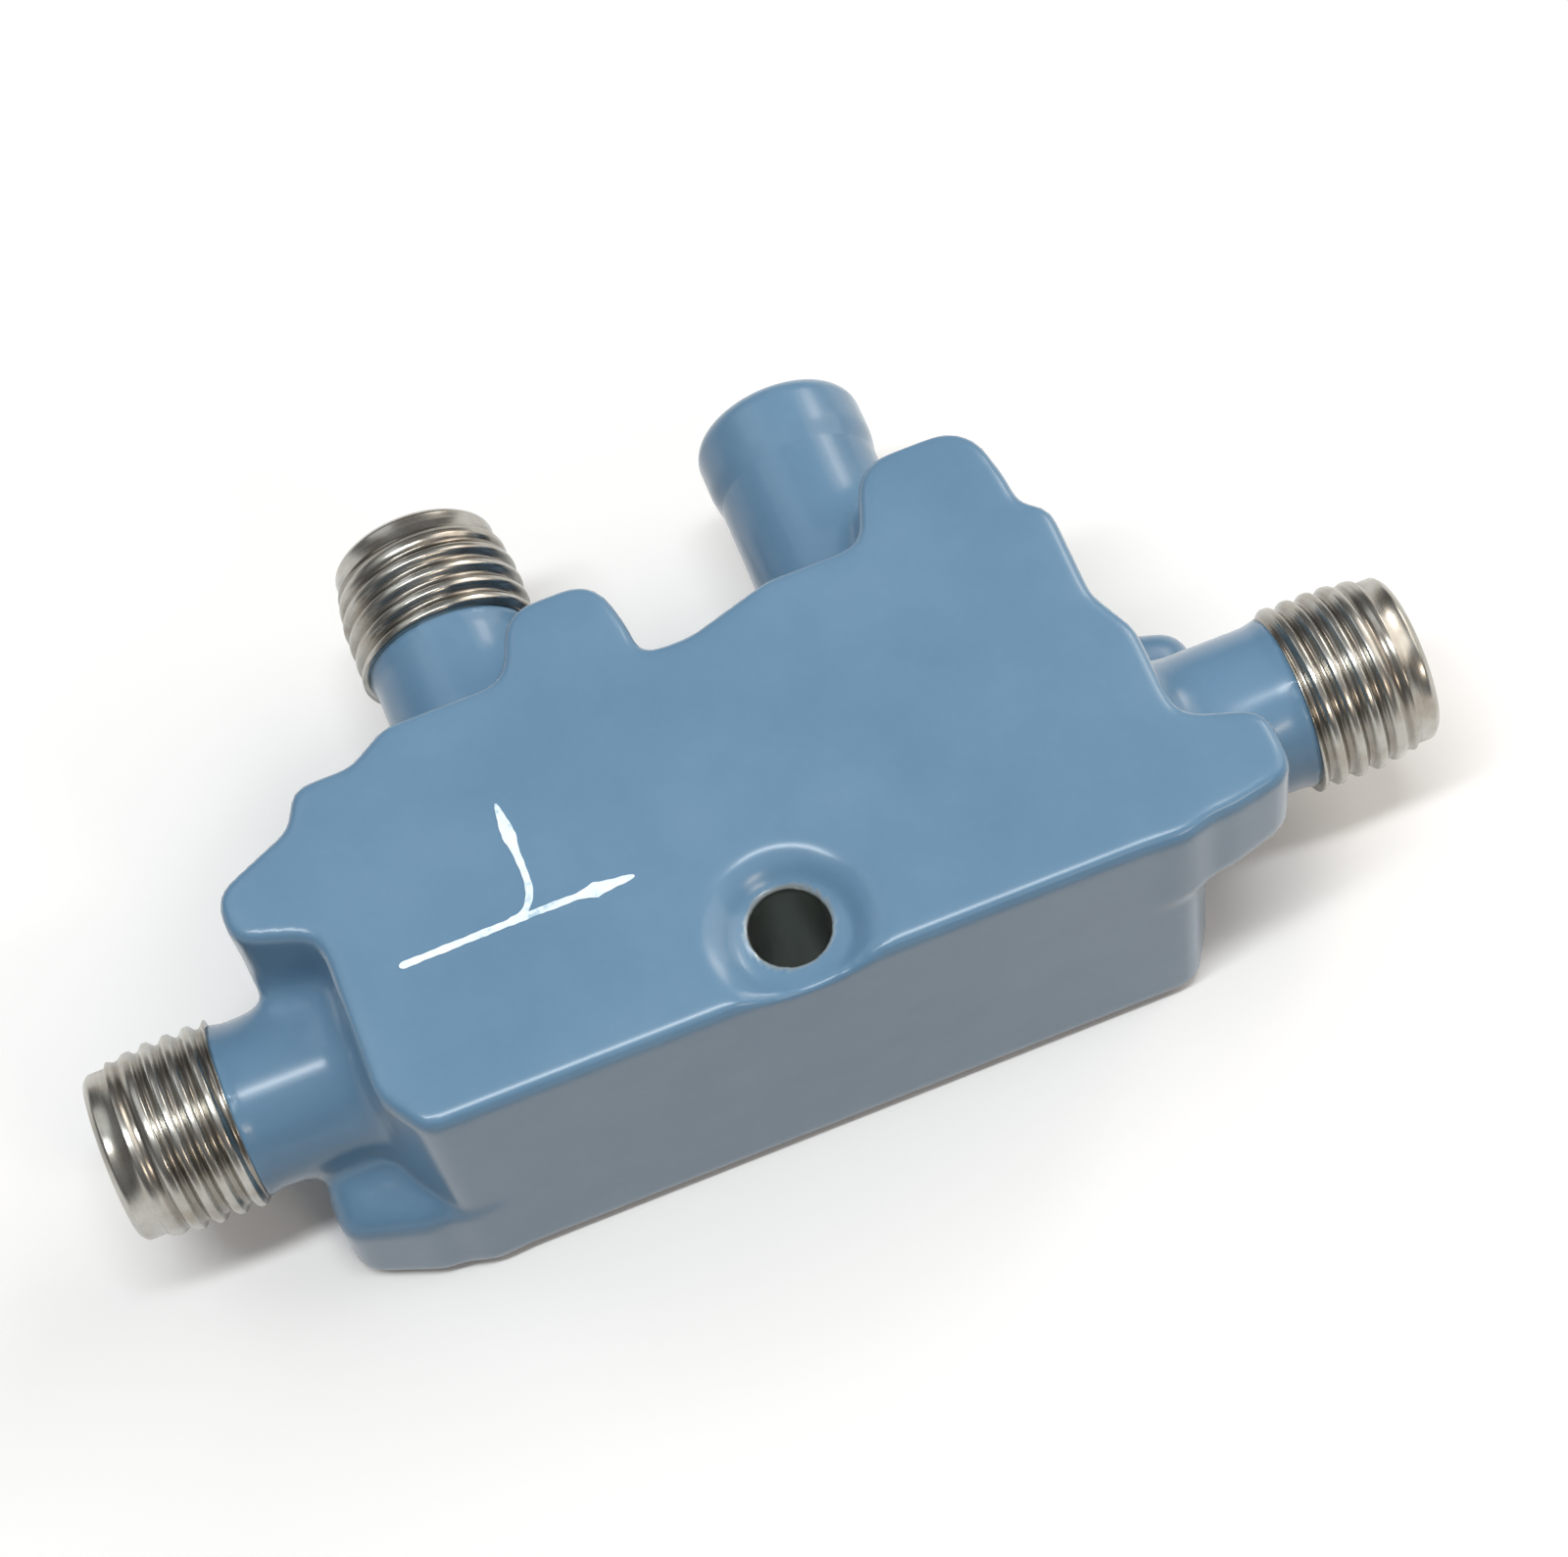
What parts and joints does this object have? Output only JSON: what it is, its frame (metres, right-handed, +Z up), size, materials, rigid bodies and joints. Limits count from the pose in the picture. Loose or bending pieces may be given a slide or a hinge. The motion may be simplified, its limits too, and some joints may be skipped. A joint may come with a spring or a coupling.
{
  "type": "directional coupler",
  "caption": "Painted block with threaded coaxial ports in line, a side port that takes a small share of the signal, a closed load and a mounting hole.",
  "frame": {"origin": "on the base face, on the axis of the mounting hole", "axes": "+X along the in-line ports towards the output port, +Y towards the coupled port and the load, +Z up from the base face along the mounting hole"},
  "size_m": [0.0454, 0.023, 0.0127],
  "materials": {
    "enamel": "gloss steel-blue enamel",
    "steel": "bare turned stainless steel",
    "insulator": "white fluoroplastic",
    "contact": "gold-plated",
    "line": "bare copper",
    "resistor": "dark grey resistor film"
  },
  "bodies": {
    "root": {"housing": "enamel", "base_cover": "enamel", "load_cap": "enamel", "cover_screws": "steel", "input_shell": "steel", "output_shell": "steel", "coupled_shell": "steel", "input_insulator": "insulator", "output_insulator": "insulator", "coupled_insulator": "insulator", "lower_sheet": "insulator", "upper_sheet": "insulator", "load_bead": "insulator", "input_contact": "contact", "output_contact": "contact", "coupled_contact": "contact", "load_contact": "contact", "main_line": "line", "coupled_line": "line", "load_rod": "resistor"}
  },
  "joints": []
}
